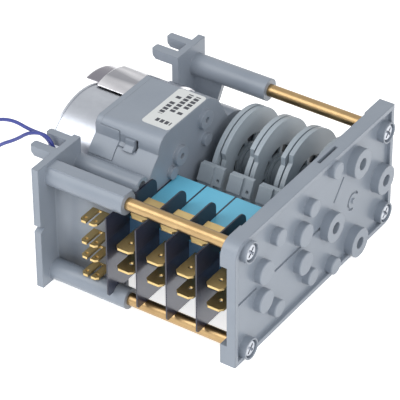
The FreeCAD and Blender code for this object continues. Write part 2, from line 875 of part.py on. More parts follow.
def flat_tab(centre, tip_y, root_y, z):
    half = tab_width / 2.0
    c = tab_tip_chamfer
    low = z - tab_thickness / 2.0
    outline_xy = [
        FreeCAD.Vector(centre - half, root_y, low),
        FreeCAD.Vector(centre - half, tip_y + c, low),
        FreeCAD.Vector(centre - half + c, tip_y, low),
        FreeCAD.Vector(centre + half - c, tip_y, low),
        FreeCAD.Vector(centre + half, tip_y + c, low),
        FreeCAD.Vector(centre + half, root_y, low),
    ]
    face = Part.Face(Part.makePolygon(outline_xy + outline_xy[:1]))
    blade = face.extrude(FreeCAD.Vector(0, 0, tab_thickness))
    hole = Part.makeCylinder(
        tab_hole_radius, tab_thickness + 2.0,
        FreeCAD.Vector(centre, tip_y + tab_hole_from_tip, low - 1.0), ALONG_Z)
    return blade.cut(hole)


def make_tabs(bay):
    centre = bay_starts[bay] + bay_width / 2.0
    tabs = []
    for z in (middle_tab_z, lower_tab_z):
        tabs.append(flat_tab(centre, tab_tip_y, switch_front + tab_rooted, z))
    flat = flat_tab(centre, top_tab_tip_y, top_tab_leg_y, top_tab_z)
    leg = box(
        centre - tab_width / 2.0, centre + tab_width / 2.0,
        top_tab_leg_y - tab_thickness, top_tab_leg_y,
        switch_top - tab_rooted, top_tab_z)
    tabs.append(joined(flat, [leg]))
    return tabs


def make_sheet(bay):
    x0 = sheet_centres[bay] - sheet_thickness / 2.0
    x1 = x0 + sheet_thickness
    lower = box(x0, x1, sheet_front, sheet_front + sheet_low_depth, sheet_low, switch_low)
    upper = box(x0, x1, sheet_front, sheet_front + sheet_high_depth, switch_low, sheet_high)
    tail = box(x0, x1, sheet_front + sheet_low_depth, switch_back, switch_low, switch_top)
    sheet = joined(lower, [upper, tail])

    def is_corner(edge, y, z):
        middle = edge.BoundBox.Center
        return runs_along(edge, ALONG_X) and abs(middle.y - y) + abs(middle.z - z) < 0.02

    back_y = sheet_front + sheet_high_depth
    sheet = round_edges(
        sheet, sheet_corner_radius, lambda e: is_corner(e, back_y, sheet_high))
    sheet = round_edges(
        sheet, sheet_tip_radius, lambda e: is_corner(e, sheet_front, sheet_low))
    cuts = [rod(rod_radius + rod_clearance, x0 - 1.0, x1 + 1.0, p) for p in switch_holes]
    if x0 < tube_start:
        cuts.append(rod(
            low_column_radius + sheet_clearance, x0 - 1.0, x1 + 1.0, front_bottom))
    return less(sheet, cuts)


def make_switch_rods():
    rods = []
    end = panel_back + bearing_depth
    front_place, back_place = switch_holes
    plate_x = sheet_centres[0] - sheet_thickness / 2.0
    headed = joined(
        rod(rod_radius, plate_x - 0.6, end, front_place),
        [rod(rod_radius + 1.2, plate_x - 1.2, plate_x, front_place)])
    rods.append(headed)
    rods.append(rod(rod_radius, gearbox_face - 1.8, end, back_place))
    return rods


# levers
def make_lever(bay):
    x0 = bay_starts[bay] + lever_inset
    x1 = x0 + lever_width
    reach = cam_radius + lever_cam_clearance
    back_low_z = cam_z - 6.0

    def on_arc(z):
        return cam_y - math.sqrt(reach ** 2 - (z - cam_z) ** 2)

    top_back = on_arc(lever_top_z)
    top_front = top_back - lever_top_thickness
    pad_front = switch_back + plunger_proud + pad_gap
    pad_low = plunger_z - pad_height / 2.0
    pad_high = plunger_z + pad_height / 2.0
    r = lever_boss_radius
    py = lever_pivot_y
    pz = lever_pivot_z
    edges = [
        Part.makeLine(point(top_front, lever_top_z), point(lever_knee_y, lever_knee_z)),
        Part.makeLine(point(lever_knee_y, lever_knee_z), point(lever_knee_y - 0.6, pad_high)),
        Part.makeLine(point(lever_knee_y - 0.6, pad_high), point(pad_front, pad_high)),
        Part.makeLine(point(pad_front, pad_high), point(pad_front, pad_low)),
        Part.makeLine(point(pad_front, pad_low), point(py - r, pz)),
        Part.Arc(point(py - r, pz), point(py, pz - r), point(py + r, pz)).toShape(),
        Part.makeLine(point(py + r, pz), point(on_arc(back_low_z), back_low_z)),
        Part.Arc(
            point(on_arc(back_low_z), back_low_z), point(on_arc(cam_z), cam_z),
            point(top_back, lever_top_z)).toShape(),
        Part.makeLine(point(top_back, lever_top_z), point(top_front, lever_top_z)),
    ]
    lever = slab(edges, x0, x1)
    front_skin = box(
        x1 - lever_step_width, x1 + 1.0, pad_front - 1.0, lever_knee_y + lever_step,
        pad_high, lever_knee_z)
    pivot = rod(
        lever_rod_radius + lever_rod_clearance, x0 - 1.0, x1 + 1.0,
        (lever_pivot_y, lever_pivot_z))
    dot = Part.makeCylinder(
        lever_hole_radius, lever_hole_depth,
        FreeCAD.Vector(x1 - lever_step_width / 2.0, lever_knee_y - 0.2, lever_knee_z + 1.6),
        FreeCAD.Vector(0, 1, 0))
    return less(lever, [front_skin, pivot, dot])


def make_lever_rod():
    return rod(
        lever_rod_radius, gearbox_face - 1.8, panel_back + bearing_depth - 0.1,
        (lever_pivot_y, lever_pivot_z))


# plug terminals on the left
def make_block():
    x1 = sheet_centres[0] - sheet_thickness / 2.0
    x0 = twin_centre_x - tab_width / 2.0 - 1.0
    block = box(
        x0, x1, block_back - block_depth, block_back,
        block_low, block_low + block_height)
    cuts = []
    for z in twin_heights:
        cuts.append(box(
            twin_centre_x - tab_width / 2.0, twin_centre_x + tab_width / 2.0,
            block_back - block_depth - 1.0, block_back - 0.6,
            z - tab_thickness / 2.0, z + tab_thickness / 2.0))
    return less(block, cuts)


def make_twin_terminals():
    blades = []
    for z in twin_heights:
        root = block_back - 0.6
        half = tab_width / 2.0
        low = z - tab_thickness / 2.0
        blade = box(
            twin_centre_x - half, twin_centre_x + half, twin_tip_y, root,
            low, low + tab_thickness)

        def at_tip(edge):
            return runs_along(edge, ALONG_Z) and edge.BoundBox.YMax < twin_tip_y + 0.01

        blade = blade.makeChamfer(0.9, [e for e in blade.Edges if at_tip(e)])
        slit = box(
            twin_centre_x - twin_slit / 2.0, twin_centre_x + twin_slit / 2.0,
            twin_tip_y - 1.0, twin_tip_y + twin_slit_length, low - 1.0, low + 2.0)
        blade = blade.cut(slit)
        for side in (-1.0, 1.0):
            dimple = Part.makeCylinder(
                twin_dimple_radius, 2.0,
                FreeCAD.Vector(
                    twin_centre_x + side * (half + twin_slit / 2.0) / 2.0,
                    twin_tip_y + 1.9, low + tab_thickness - 0.4),
                ALONG_Z)
            blade = blade.cut(dimple)
        blades.append(blade)
    return blades


# leads
def grommet_point(height):
    turn = math.radians(grommet_angle)
    reach = motor_radius + height
    return (motor_y + reach * math.cos(turn), motor_z + reach * math.sin(turn))


def make_grommet():
    inner = grommet_point(-0.4)
    outer = grommet_point(grommet_height)
    start = FreeCAD.Vector(grommet_x, inner[0], inner[1])
    end = FreeCAD.Vector(grommet_x, outer[0], outer[1])
    axis = end.sub(start)
    stub = Part.makeCylinder(grommet_radius, axis.Length, start, axis)
    return stub.cut(rod(motor_radius, -motor_reach, 0.0, (motor_y, motor_z)))


exit_y, exit_z = grommet_point(grommet_height)
lead_routes = [
    [
        (grommet_x + lead_spacing / 2.0, exit_y, exit_z),
        (-2.5, 18.0, 36.0),
        (-2.3, 15.4, 41.2),
        (-5.0, 15.3, 46.9),
        (-12.0, 15.4, 45.3),
        (-18.0, 15.5, 39.9),
        (-25.0, 16.0, 35.2),
        (-30.5, 17.5, 28.5),
        (-32.8, 20.0, 20.0),
        (-33.2, 22.3, 11.0),
        (-33.2, 22.0, 0.9),
        (-33.2, 15.0, 0.9),
        (-33.2, 8.0, 1.5),
    ],
    [
        (grommet_x - lead_spacing / 2.0, exit_y, exit_z),
        (-4.6, 18.3, 36.0),
        (-4.4, 17.0, 41.0),
        (-7.2, 17.0, 44.9),
        (-13.5, 17.1, 44.6),
        (-20.0, 17.4, 45.6),
        (-27.5, 18.0, 42.8),
        (-33.5, 19.5, 37.0),
        (-37.5, 22.0, 29.0),
        (-39.2, 25.5, 20.5),
        (-39.4, 28.6, 11.5),
        (-39.4, 31.5, 1.0),
        (-39.4, 22.0, 1.5),
    ],
]


def make_lead(route):
    points = [FreeCAD.Vector(x, y, z) for x, y, z in route]
    edges = []
    here = points[0]
    radii = []
    for before, corner, after in zip(points, points[1:], points[2:]):
        back = before.sub(corner)
        ahead = after.sub(corner)
        short = min(back.Length, ahead.Length)
        back.normalize()
        ahead.normalize()
        half_turn = (math.pi - back.getAngle(ahead)) / 2.0
        trim = lead_bend_share * short
        radii.append(trim / math.tan(half_turn))
        start = corner.add(back.multiply(trim))
        end = corner.add(ahead.multiply(trim))
        bisector = start.add(end).multiply(0.5).sub(corner)
        to_middle = radii[-1] / math.cos(half_turn) - radii[-1]
        middle = corner.add(bisector.normalize().multiply(to_middle))
        edges.append(Part.makeLine(here, start))
        edges.append(Part.Arc(start, middle, end).toShape())
        here = end
    edges.append(Part.makeLine(here, points[-1]))
    path = Part.Wire(edges)
    section = Part.Wire(Part.makeCircle(
        lead_diameter / 2.0, points[0], points[1].sub(points[0])))
    tube = path.makePipeShell([section], True, False)
    expected = path.Length * math.pi * lead_diameter ** 2 / 4.0
    print("lead", round(path.Length, 1), "mm, volume ratio",
          round(tube.Volume / expected, 4), "radii", [round(r, 1) for r in radii])
    return tube


def make_connector(route):
    x, y, z = route[-1]
    sleeve = box(
        x - connector_width / 2.0, x + connector_width / 2.0, y - connector_length, y,
        z - connector_thickness / 2.0, z + connector_thickness / 2.0)
    along_y = FreeCAD.Vector(0, 1, 0)
    sleeve = round_edges(sleeve, 1.0, lambda e: runs_along(e, along_y))
    slot = box(
        x - connector_slot_width / 2.0, x + connector_slot_width / 2.0,
        y - connector_length - 1.0, y - connector_length + connector_slot_depth,
        z - connector_slot_height / 2.0, z + connector_slot_height / 2.0)
    return sleeve.cut(slot)


save("left_plate", [make_left_plate()])
save("right_plate", [make_right_plate()])
save("spacer_tubes", [make_tube(place) for place in corners])
save("corner_screws", [make_screw(place) for place in corners])
save("motor_can", [make_motor_can()])
save("motor_rear_can", [make_rear_can()])
save("gearbox_case", [make_gearbox_case()])
save("gearbox_base", [make_gearbox_base()])
save("rating_label", [make_label()])
save("camshaft", [make_camshaft()])
save("cam_spacers", make_cam_spacers())
for bay in range(bay_count):
    number = str(bay + 1)
    first, second = cam_pairs[bay]
    save("cam_" + number + "_left", [make_cam(
        first, left_cam_starts[bay], left_cam_spans[bay], (-1.0, cam_dish_depth))])
    save("cam_" + number + "_right", [make_cam(
        second, right_cam_starts[bay], right_cam_spans[bay],
        (cam_disc_thickness - cam_dish_depth, cam_disc_thickness + 1.0))])
    save("switch_" + number, [make_switch(bay)])
    save("switch_" + number + "_plunger", [make_plunger(bay)])
    save("switch_" + number + "_terminals", make_tabs(bay))
    save("insulating_sheet_" + number, [make_sheet(bay)])
    save("lever_" + number, [make_lever(bay)])
save("lever_rod", [make_lever_rod()])
save("switch_rods", make_switch_rods())
save("terminal_block", [make_block()])
save("twin_terminals", make_twin_terminals())
save("lead_grommet", [make_grommet()])
save("front_lead", [make_lead(lead_routes[0])])
save("rear_lead", [make_lead(lead_routes[1])])
save("lead_connectors", [make_connector(route) for route in lead_routes])

os.makedirs("parts", exist_ok=True)
for name, shapes in made.items():
    solids = [solid for shape in shapes for solid in shape.Solids]
    part = Part.makeCompound(solids)
    part.translate(to_origin)
    part.exportStep("parts/" + name + ".step")
    print(name, len(solids), [round(solid.Volume, 1) for solid in solids][:6],
          all(solid.isValid() for solid in solids))
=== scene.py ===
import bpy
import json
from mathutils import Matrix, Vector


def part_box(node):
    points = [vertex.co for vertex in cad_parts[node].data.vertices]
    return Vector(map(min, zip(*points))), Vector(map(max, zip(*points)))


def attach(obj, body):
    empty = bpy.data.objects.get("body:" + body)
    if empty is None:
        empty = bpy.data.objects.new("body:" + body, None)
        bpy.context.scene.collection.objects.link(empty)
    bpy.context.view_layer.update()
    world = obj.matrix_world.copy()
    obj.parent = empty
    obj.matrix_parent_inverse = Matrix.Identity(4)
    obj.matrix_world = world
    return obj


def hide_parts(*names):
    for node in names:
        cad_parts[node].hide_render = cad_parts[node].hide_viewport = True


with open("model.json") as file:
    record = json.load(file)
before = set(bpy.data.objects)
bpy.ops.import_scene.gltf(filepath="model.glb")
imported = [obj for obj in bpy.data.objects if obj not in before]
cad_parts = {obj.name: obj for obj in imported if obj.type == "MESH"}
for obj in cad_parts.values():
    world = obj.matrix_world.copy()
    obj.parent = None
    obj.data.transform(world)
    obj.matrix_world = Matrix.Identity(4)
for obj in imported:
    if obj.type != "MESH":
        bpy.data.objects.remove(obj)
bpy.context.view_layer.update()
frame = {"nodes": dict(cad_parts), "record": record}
import json
import math
import bpy
import numpy as np
from mathutils import Matrix, Vector

# %% [markdown]
# This scene dresses a cam timer: a small open machine of grey nylon plates, brass
# spacers, a steel motor and four blue snap switches. The solid parts come ready
# from the imported frame and stay where they are. The scene gives every surface its
# finish, draws the two thin motor leads as smooth curves, and adds what the solids
# lack: a wall behind the twin tabs, a raised face on each lever and a dark ring of
# painted shade in each cam pair. Points are given in the part's own millimetres,
# which start at its front left corner, and `placed` turns them into metres about
# the middle of the machine.

# %% the size of the solids
MM = 0.001
middle = Vector((0.029275, 0.0458, 0.0))


def placed(x, y, z):
    """A point of the part in millimetres, as metres about the machine's middle."""
    return (x * MM - middle.x, y * MM - middle.y, z * MM)


# %% [markdown]
# The picture was taken from the front right, well above the machine, with a long
# lens that keeps the plates' edges nearly parallel. Three angles and a place
# describe that view. The camera's right, up and forward directions are worked out
# from the angles, so every number here can be read as a turn of the tripod.

# %% the camera
picture_width = 400.0
focal_length = 2657.944
film_width = 36.0
shift_right, shift_up, distance = 0.051249, 0.026887, 0.836827
turn = math.radians(34.056)
look_down = math.radians(35.937)
tilt = math.radians(-0.350)
level_right = Vector((math.cos(turn), math.sin(turn), 0.0))
forward = Vector((
    -math.sin(turn) * math.cos(look_down), math.cos(turn) * math.cos(look_down), -math.sin(look_down)))
plain_up = level_right.cross(forward)
right = level_right * math.cos(tilt) + plain_up * math.sin(tilt)
up = plain_up * math.cos(tilt) - level_right * math.sin(tilt)
camera_data = bpy.data.cameras.new("photo_camera")
camera_data.sensor_width = film_width
camera_data.lens = film_width * focal_length / picture_width
camera = bpy.data.objects.new("photo_camera", camera_data)
bpy.context.scene.collection.objects.link(camera)
place = right * shift_right + up * shift_up - forward * distance - middle
camera.matrix_world = Matrix((
    (right.x, up.x, -forward.x, place.x),
    (right.y, up.y, -forward.y, place.y),
    (right.z, up.z, -forward.z, place.z),
    (0.0, 0.0, 0.0, 1.0)))
bpy.context.scene.camera = camera
bpy.context.scene.view_settings.view_transform = "Standard"
print("camera", round(place.length, 3), "m away, lens", round(camera_data.lens, 1), "mm")

# %% [markdown]
# The two blue leads are the only soft things on the machine. Each is one smooth
# curve through a few listed points: out of the grommet on the motor, up
# through the fork of the left plate, outwards, and down to the floor. A quadratic
# NURBS line rounds the corners by itself, like a thin stranded wire would.

# %% the route of each motor lead
front_route = [
    (-2.6, 22.702, 33.342), (-2.5, 18.0, 36.0), (-2.3, 15.4, 41.2), (-5.0, 15.3, 46.9),
    (-12.0, 15.4, 45.3), (-18.0, 15.5, 39.9), (-25.0, 16.0, 35.2), (-30.5, 17.5, 28.5),
    (-32.8, 20.0, 20.0), (-33.2, 22.3, 11.0), (-33.2, 22.0, 0.9), (-33.2, 15.0, 0.9),
    (-33.2, 8.0, 1.5)]
rear_route = [
    (-4.6, 22.702, 33.342), (-4.6, 18.3, 36.0), (-4.4, 17.0, 41.0), (-7.2, 17.0, 44.9),
    (-13.5, 17.1, 44.6), (-20.0, 17.4, 45.6), (-27.5, 18.0, 42.8), (-33.5, 19.5, 37.0),
    (-37.5, 22.0, 29.0), (-39.2, 25.5, 20.5), (-39.4, 28.6, 11.5), (-39.4, 31.5, 1.0),
    (-39.4, 22.0, 1.5)]
lead_diameter = 1.2 * MM


def draw_lead(name, route):
    """A round wire along the route's NURBS line. The points' radii are in metres, as the bevel is 1."""
    curve = bpy.data.curves.new(name, "CURVE")
    curve.dimensions = "3D"
    line = curve.splines.new("NURBS")
    line.points.add(len(route) - 1)
    for spot, point in zip(line.points, route):
        spot.co = (*placed(*point), 1.0)
        spot.radius = lead_diameter / 2.0
    line.order_u = 3
    line.use_endpoint_u = True
    line.resolution_u = 14
    curve.bevel_depth = 1.0
    curve.bevel_resolution = 5
    lead = bpy.data.objects.new(name, curve)
    bpy.context.scene.collection.objects.link(lead)
    return lead


front_lead = draw_lead("front_lead_wire", front_route)
rear_lead = draw_lead("rear_lead_wire", rear_route)
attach(front_lead, "frame")
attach(rear_lead, "frame")
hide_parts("front_lead")
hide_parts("rear_lead")
print("leads follow", len(front_route), "and", len(rear_route), "points")

# %% [markdown]
# Surfaces that are easier to write as a formula than to model by hand are made as
# a grid of points in numpy: one array row per cross-section. The helper closes each
# row into a ring and can cap both ends.


# %% a surface from rings of points
def ring_surface(name, rings, capped=True):
    """Quads between neighbouring rings of an array shaped (rings, points, 3).

    They face outwards where each ring runs anticlockwise as seen from the last one."""
    rows, columns, _ = rings.shape
    index = np.arange(rows * columns).reshape(rows, columns)
    a = index[:-1]
    b = np.roll(a, -1, axis=1)
    c = np.roll(index[1:], -1, axis=1)
    d = index[1:]
    faces = np.stack([a, b, c, d], axis=-1).reshape(-1, 4).tolist()
    if capped:
        faces.append(index[0][::-1].tolist())
        faces.append(index[-1].tolist())
    mesh = bpy.data.meshes.new(name)
    mesh.from_pydata(rings.reshape(-1, 3).tolist(), [], faces)
    smooth = np.ones(len(mesh.polygons), dtype=bool)
    if capped:
        smooth[-2:] = False
    mesh.polygons.foreach_set("use_smooth", smooth)
    mesh.update()
    thing = bpy.data.objects.new(name, mesh)
    bpy.context.scene.collection.objects.link(thing)
    return thing


def superellipse(half_width, half_height, power, count):
    """Points with |x/a|^p + |z/b|^p = 1: a round at power 2, nearly a box at 6."""
    angle = np.linspace(0.0, 2.0 * np.pi, count, endpoint=False)
    c, s = np.cos(angle), np.sin(angle)
    return (half_width * np.sign(c) * np.abs(c) ** (2.0 / power),
            half_height * np.sign(s) * np.abs(s) ** (2.0 / power))


print("surface helpers ready")

# %% [markdown]
# Each lead ends in a push-on receptacle in a soft clear sleeve. The sleeve starts
# as a round neck over the wire and swells into a flat box over the metal, so each
# cross-section is a superellipse whose power grows along its length. The metal
# inside is a flat brass tube with rolled sides, open at the mouth.

# %% push-on receptacles
sleeve_length = 13.0 * MM
sleeve_wall = 0.45 * MM
neck_share = 0.45
ring_points = 32


def sleeve(name, end):
    """Cross-sections along -Y. t goes from 0 to 1, and w = s s (3 - 2 s) with s = t / neck widens them.

    The last steps turn back inside the mouth, one wall thickness further in."""
    x, y, z = placed(*end)
    rings = []
    steps = [(t, 0.0) for t in np.linspace(0.0, 1.0, 22)]
    steps += [(t, sleeve_wall) for t in (1.0, 0.93, 0.55)]
    for t, inset in steps:
        w = min(t / neck_share, 1.0)
        w = w * w * (3.0 - 2.0 * w)
        half_width = (1.0 + 2.6 * w) * MM - inset
        half_height = (0.95 + 0.5 * w) * MM - inset
        px, pz = superellipse(half_width, half_height, 2.0 + 2.2 * w, ring_points)
        rings.append(np.stack([x + px, np.full_like(px, y - t * sleeve_length), z + pz], axis=-1))
    return ring_surface(name, np.array(rings))


def receptacle(name, end):
    """A flat tube with rolled edges: the rings run out to the mouth and back inside."""
    x, y, z = placed(*end)
    rings = []
    for t, shrink in ((0.50, 0.0), (0.55, 0.0), (0.95, 0.0), (0.95, 0.35), (0.60, 0.35)):
        px, pz = superellipse((2.9 - shrink) * MM, (0.8 - shrink * 0.9) * MM, 3.5, ring_points)
        rings.append(np.stack([x + px, np.full_like(px, y - t * sleeve_length), z + pz], axis=-1))
    return ring_surface(name, np.array(rings))


sleeves = []
receptacles = []
for name, route in (("front", front_route), ("rear", rear_route)):
    sleeves.append(sleeve(name + "_lead_sleeve", route[-1]))
    receptacles.append(receptacle(name + "_lead_receptacle", route[-1]))
for thing in sleeves + receptacles:
    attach(thing, "frame")
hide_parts("lead_connectors")


def wire_length(lead):
    """The length of the curve itself, measured without its thickness."""
    depth = lead.data.bevel_depth
    lead.data.bevel_depth = 0.0
    bare = bpy.data.meshes.new_from_object(lead)
    lead.data.bevel_depth = depth
    spots = np.array([v.co for v in bare.vertices])
    bpy.data.meshes.remove(bare)
    return float(np.linalg.norm(np.diff(spots, axis=0), axis=1).sum())


leads = ((front_lead, front_route), (rear_lead, rear_route))
for (lead, route), soft, tab in zip(leads, sleeves, receptacles):
    start = placed(*route[0])
    length = wire_length(lead)
    print(lead.name, "is", round(length * 1000.0, 1), "mm long")

# %% [markdown]
# Materials are node trees, and writing them link by link hides the idea. A small
# class lets shader maths be written like ordinary maths: adding two sockets makes
# an Add node and joins it up, and 1 - mask works as well. One more method makes any
# other node from its type, its settings and what its sockets are given.


# %% shader maths
class Signal:
    """One output socket that can be added, subtracted and multiplied like a number."""

    def __init__(self, nodes, socket):
        self.nodes = nodes
        self.socket = socket

    def maths(self, operation, other=None):
        given = {0: self}
        if other is not None:
            given[1] = other
        return self.nodes.node("ShaderNodeMath", given, operation=operation)

    def __add__(self, other):
        return self.maths("ADD", other)

    def __sub__(self, other):
        return self.maths("SUBTRACT", other)

    def __rsub__(self, other):
        return self.nodes.node("ShaderNodeMath", {0: other, 1: self}, operation="SUBTRACT")

    def __mul__(self, other):
        return self.maths("MULTIPLY", other)

    __radd__ = __add__
    __rmul__ = __mul__

    def above(self, level):
        return self.maths("GREATER_THAN", level)

    def below(self, level):
        return self.maths("LESS_THAN", level)


class Nodes:
    """A node tree and a short way to add to it."""

    def __init__(self, tree):
        self.tree = tree

    def node(self, kind, given, output=0, **settings):
        made = self.tree.nodes.new(kind)
        for key, value in settings.items():
            setattr(made, key, value)
        for key, value in given.items():
            self.feed(made.inputs[key], value)
        return Signal(self, made.outputs[output])

    def feed(self, socket, value):
        if isinstance(value, Signal):
            self.tree.links.new(value.socket, socket)
        else:
            socket.default_value = value


class Finish(Nodes):
    """A named material: its shader, the place on the object, and the nodes used most."""

    def __init__(self, name):
        self.material = bpy.data.materials.new(name)
        self.material.use_nodes = True
        super().__init__(self.material.node_tree)
        self.shader = self.tree.nodes["Principled BSDF"]
        self.place = self.node("ShaderNodeTexCoord", {}, output="Object")

    def set(self, **values):
        for key, value in values.items():
            self.feed(self.shader.inputs[key.replace("_", " ")], value)

    def along(self, axis):
        """How far along X, Y or Z (0, 1 or 2) a point lies."""
        return self.node("ShaderNodeSeparateXYZ", {0: self.place}, output=axis)

    def facing(self, axis):
        """How much the surface faces along X, Y or Z, from -1 to 1."""
        normal = self.node("ShaderNodeTexCoord", {}, output="Normal")
        return self.node("ShaderNodeSeparateXYZ", {0: normal}, output=axis)

    def stretched(self, x, y, z):
        return self.node("ShaderNodeMapping", {"Vector": self.place, "Scale": (x, y, z)})

    def noise(self, scale, detail, roughness, where=None):
        return self.node("ShaderNodeTexNoise", {
            "Vector": where or self.place, "Scale": scale, "Detail": detail, "Roughness": roughness})

    def mix(self, amount, dark, light):
        return self.node("ShaderNodeMix", {0: amount, 6: dark, 7: light}, output=2, data_type="RGBA")

    def rounded(self, radius):
        return self.node("ShaderNodeBevel", {"Radius": radius}, samples=4)

    def bump(self, height, distance, strength, normal=None):
        given = {"Height": height, "Distance": distance, "Strength": strength}
        if normal is not None:
            given["Normal"] = normal
        return self.node("ShaderNodeBump", given)


print("shader helpers ready")

# %% [markdown]
# The plates, columns and gearbox are moulded in grey glass-filled nylon. It has a
# soft sheen, faint flow clouds where the melt ran, and a fine grain. Real mouldings
# have no knife-sharp edges, so a bevel node rounds the light along each edge
# without touching the solid. The switch cases are blue, and their walls carry
# painted shade: a darker, duller blue than their tops.


# %% moulded plastics
def tone(red, green, blue):
    """A colour given as a screen shows it, 0 to 255, in the linear form that nodes take."""
    parts = []
    for value in (red, green, blue):
        v = value / 255.0
        parts.append(v / 12.92 if v <= 0.04045 else ((v + 0.055) / 1.055) ** 2.4)
    return (*parts, 1.0)


grain_height = 0.02 * MM
plate_edge = 0.45 * MM
fine_edge = 0.2 * MM


def moulded(name, deep, pale, roughness, edge):
    """Moulded plastic: cloudy colour, slightly uneven gloss, fine grain, soft edges."""
    finish = Finish(name)
    cloud = finish.noise(60.0, 4.0, 0.6)
    fine = finish.noise(1400.0, 2.0, 0.5)
    finish.set(
        Base_Color=finish.mix(cloud, deep, pale),
        Roughness=cloud * 0.16 + (roughness - 0.08),
        Normal=finish.bump(fine, grain_height, 0.35, finish.rounded(edge)))
    finish.shader.inputs["IOR"].default_value = 1.5
    return finish.material


def switch_case():
    """Blue moulded plastic whose walls carry painted shade: a darker, duller blue than the top."""
    finish = Finish("blue switch case")
    cloud = finish.noise(60.0, 4.0, 0.6)
    # painted shade: every face that does not face up takes the darker wall blue
    painted_shade_on_walls = finish.facing(2).below(0.5)
    top = finish.mix(cloud, tone(100, 186, 218), tone(117, 201, 232))
    # painted shade: the darker blue of the walls, which stand in shade between the sheets
    wall = finish.mix(cloud, tone(54, 92, 128), tone(66, 108, 146))
    finish.set(
        Base_Color=finish.mix(painted_shade_on_walls, top, wall),
        Roughness=cloud * 0.16 + 0.32,
        Normal=finish.rounded(fine_edge))
    return finish.material


finishes = {}
finishes["grey_plastic"] = moulded(
    "grey nylon", tone(129, 139, 152), tone(147, 155, 166), 0.34, plate_edge)
finishes["cam_plastic"] = moulded(
    "greenish grey acetal", tone(148, 160, 170), tone(168, 178, 186), 0.36, fine_edge)
finishes["blue_plastic"] = switch_case()
finishes["dark_plastic"] = moulded(
    "dark plastic", tone(34, 36, 42), tone(48, 50, 58), 0.42, fine_edge)
print("moulded plastics:", sorted(finishes))

# %% [markdown]
# Brass tubes and stamped tabs have gone slightly brown. The colour drifts between
# fresh and tarnished with a slow noise, and long fine scratches run along X on the
# drawn tubes. The tabs take a paler copy of the brass: painted light that lifts them
# in the shaded bays between the sheets. The steel parts use the same idea in grey.
# The rear can is bright plating over thin dented sheet: its bumps are long and low,
# painted grey reflections lie in them left of the gearbox, and the nose at its far
# end is painted darker as a painted reflection.


# %% metals
nose_line = placed(-11.2, 0.0, 0.0)[0]
rear_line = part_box("gearbox_case")[0].x
scratch_scale = (300.0, 3000.0, 3000.0)
scratch_height = 0.01 * MM
dent_scale = (25.0, 120.0, 120.0)
dent_edge = 0.4 * MM


def metal(name, fresh, aged, roughness, dents=0.0):
    """Metal whose colour, gloss and scratches all come from noise in object space."""
    finish = Finish(name)
    patch = finish.noise(140.0, 5.0, 0.65)
    lines = finish.noise(1.0, 2.0, 0.5, finish.stretched(*scratch_scale))
    colour = finish.mix(patch, fresh, aged)
    if dents:
        waves = finish.noise(1.0, 1.0, 0.4, finish.stretched(*dent_scale))
        surface = finish.bump(waves, dents, 0.8, finish.rounded(dent_edge))
        # painted reflection: grey laid into the deeper dents, left of the gearbox only
        painted_dent_reflection = ((waves - 0.46) * 5.0).maths("MINIMUM", 0.75).maths("MAXIMUM", 0.0)
        colour = finish.mix(painted_dent_reflection * finish.along(0).below(rear_line), colour, tone(112, 114, 122))
        # painted reflection: left of nose_line the chrome is painted darker
        colour = finish.mix(finish.along(0).below(nose_line), colour, tone(134, 132, 140))
    else:
        surface = finish.bump(lines, scratch_height, 0.35, finish.rounded(fine_edge))
    finish.set(
        Metallic=1.0,
        Base_Color=colour,
        Roughness=lines * 0.10 + patch * 0.14 + (roughness - 0.10),
        Normal=surface)
    return finish.material


finishes["brass"] = metal("tarnished brass", tone(188, 161, 118), tone(140, 113, 78), 0.30)
finishes["zinc_steel"] = metal("zinc plated steel", tone(192, 196, 203), tone(162, 166, 174), 0.30)
finishes["chrome_steel"] = metal(
    "bright plated steel", tone(240, 240, 242), tone(206, 204, 209), 0.16, dents=1.2 * MM)
# painted light: the tabs take a paler copy of the brass, which lifts them in the shaded bays between the
# sheets
tab_brass_painted_light = metal("stamped yellow brass", tone(224, 198, 142), tone(190, 164, 110), 0.42)
print("metals added:", len(finishes))

# %% [markdown]
# The insulating sheets are thin black film with a hard gloss that picks up the pale
# surroundings, except on the ears above the switches. The label is matt paper: its
# print is only rows of plain dark bars, worked out from the place on the paper, so it
# says nothing. The wire coats are soft blue PVC and the sleeves are nearly clear.


# %% sheets, paper and soft covers
ear_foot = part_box("switch_1")[1].z - 2.0 * MM


def sheet_film():
    """Black film: the broad faces, whose normal runs along X, carry a gloss up to the ears' foot."""
    finish = Finish("black film")
    wave = finish.noise(40.0, 2.0, 0.5)
    broad = finish.facing(0).maths("ABSOLUTE").above(0.9)
    under_ears = finish.along(2).below(ear_foot)
    finish.set(Base_Color=finish.mix(wave, tone(30, 32, 46), tone(46, 49, 66)),
               Roughness=wave * 0.08 + 0.34,
               Coat_Weight=broad * under_ears,
               Normal=finish.bump(wave, 0.3 * MM, 0.4))
    finish.shader.inputs["Coat IOR"].default_value = 1.8
    finish.shader.inputs["Coat Roughness"].default_value = 0.2
    finish.shader.inputs["Coat Tint"].default_value = (0.86, 0.88, 1.0, 1.0)
    return finish.material


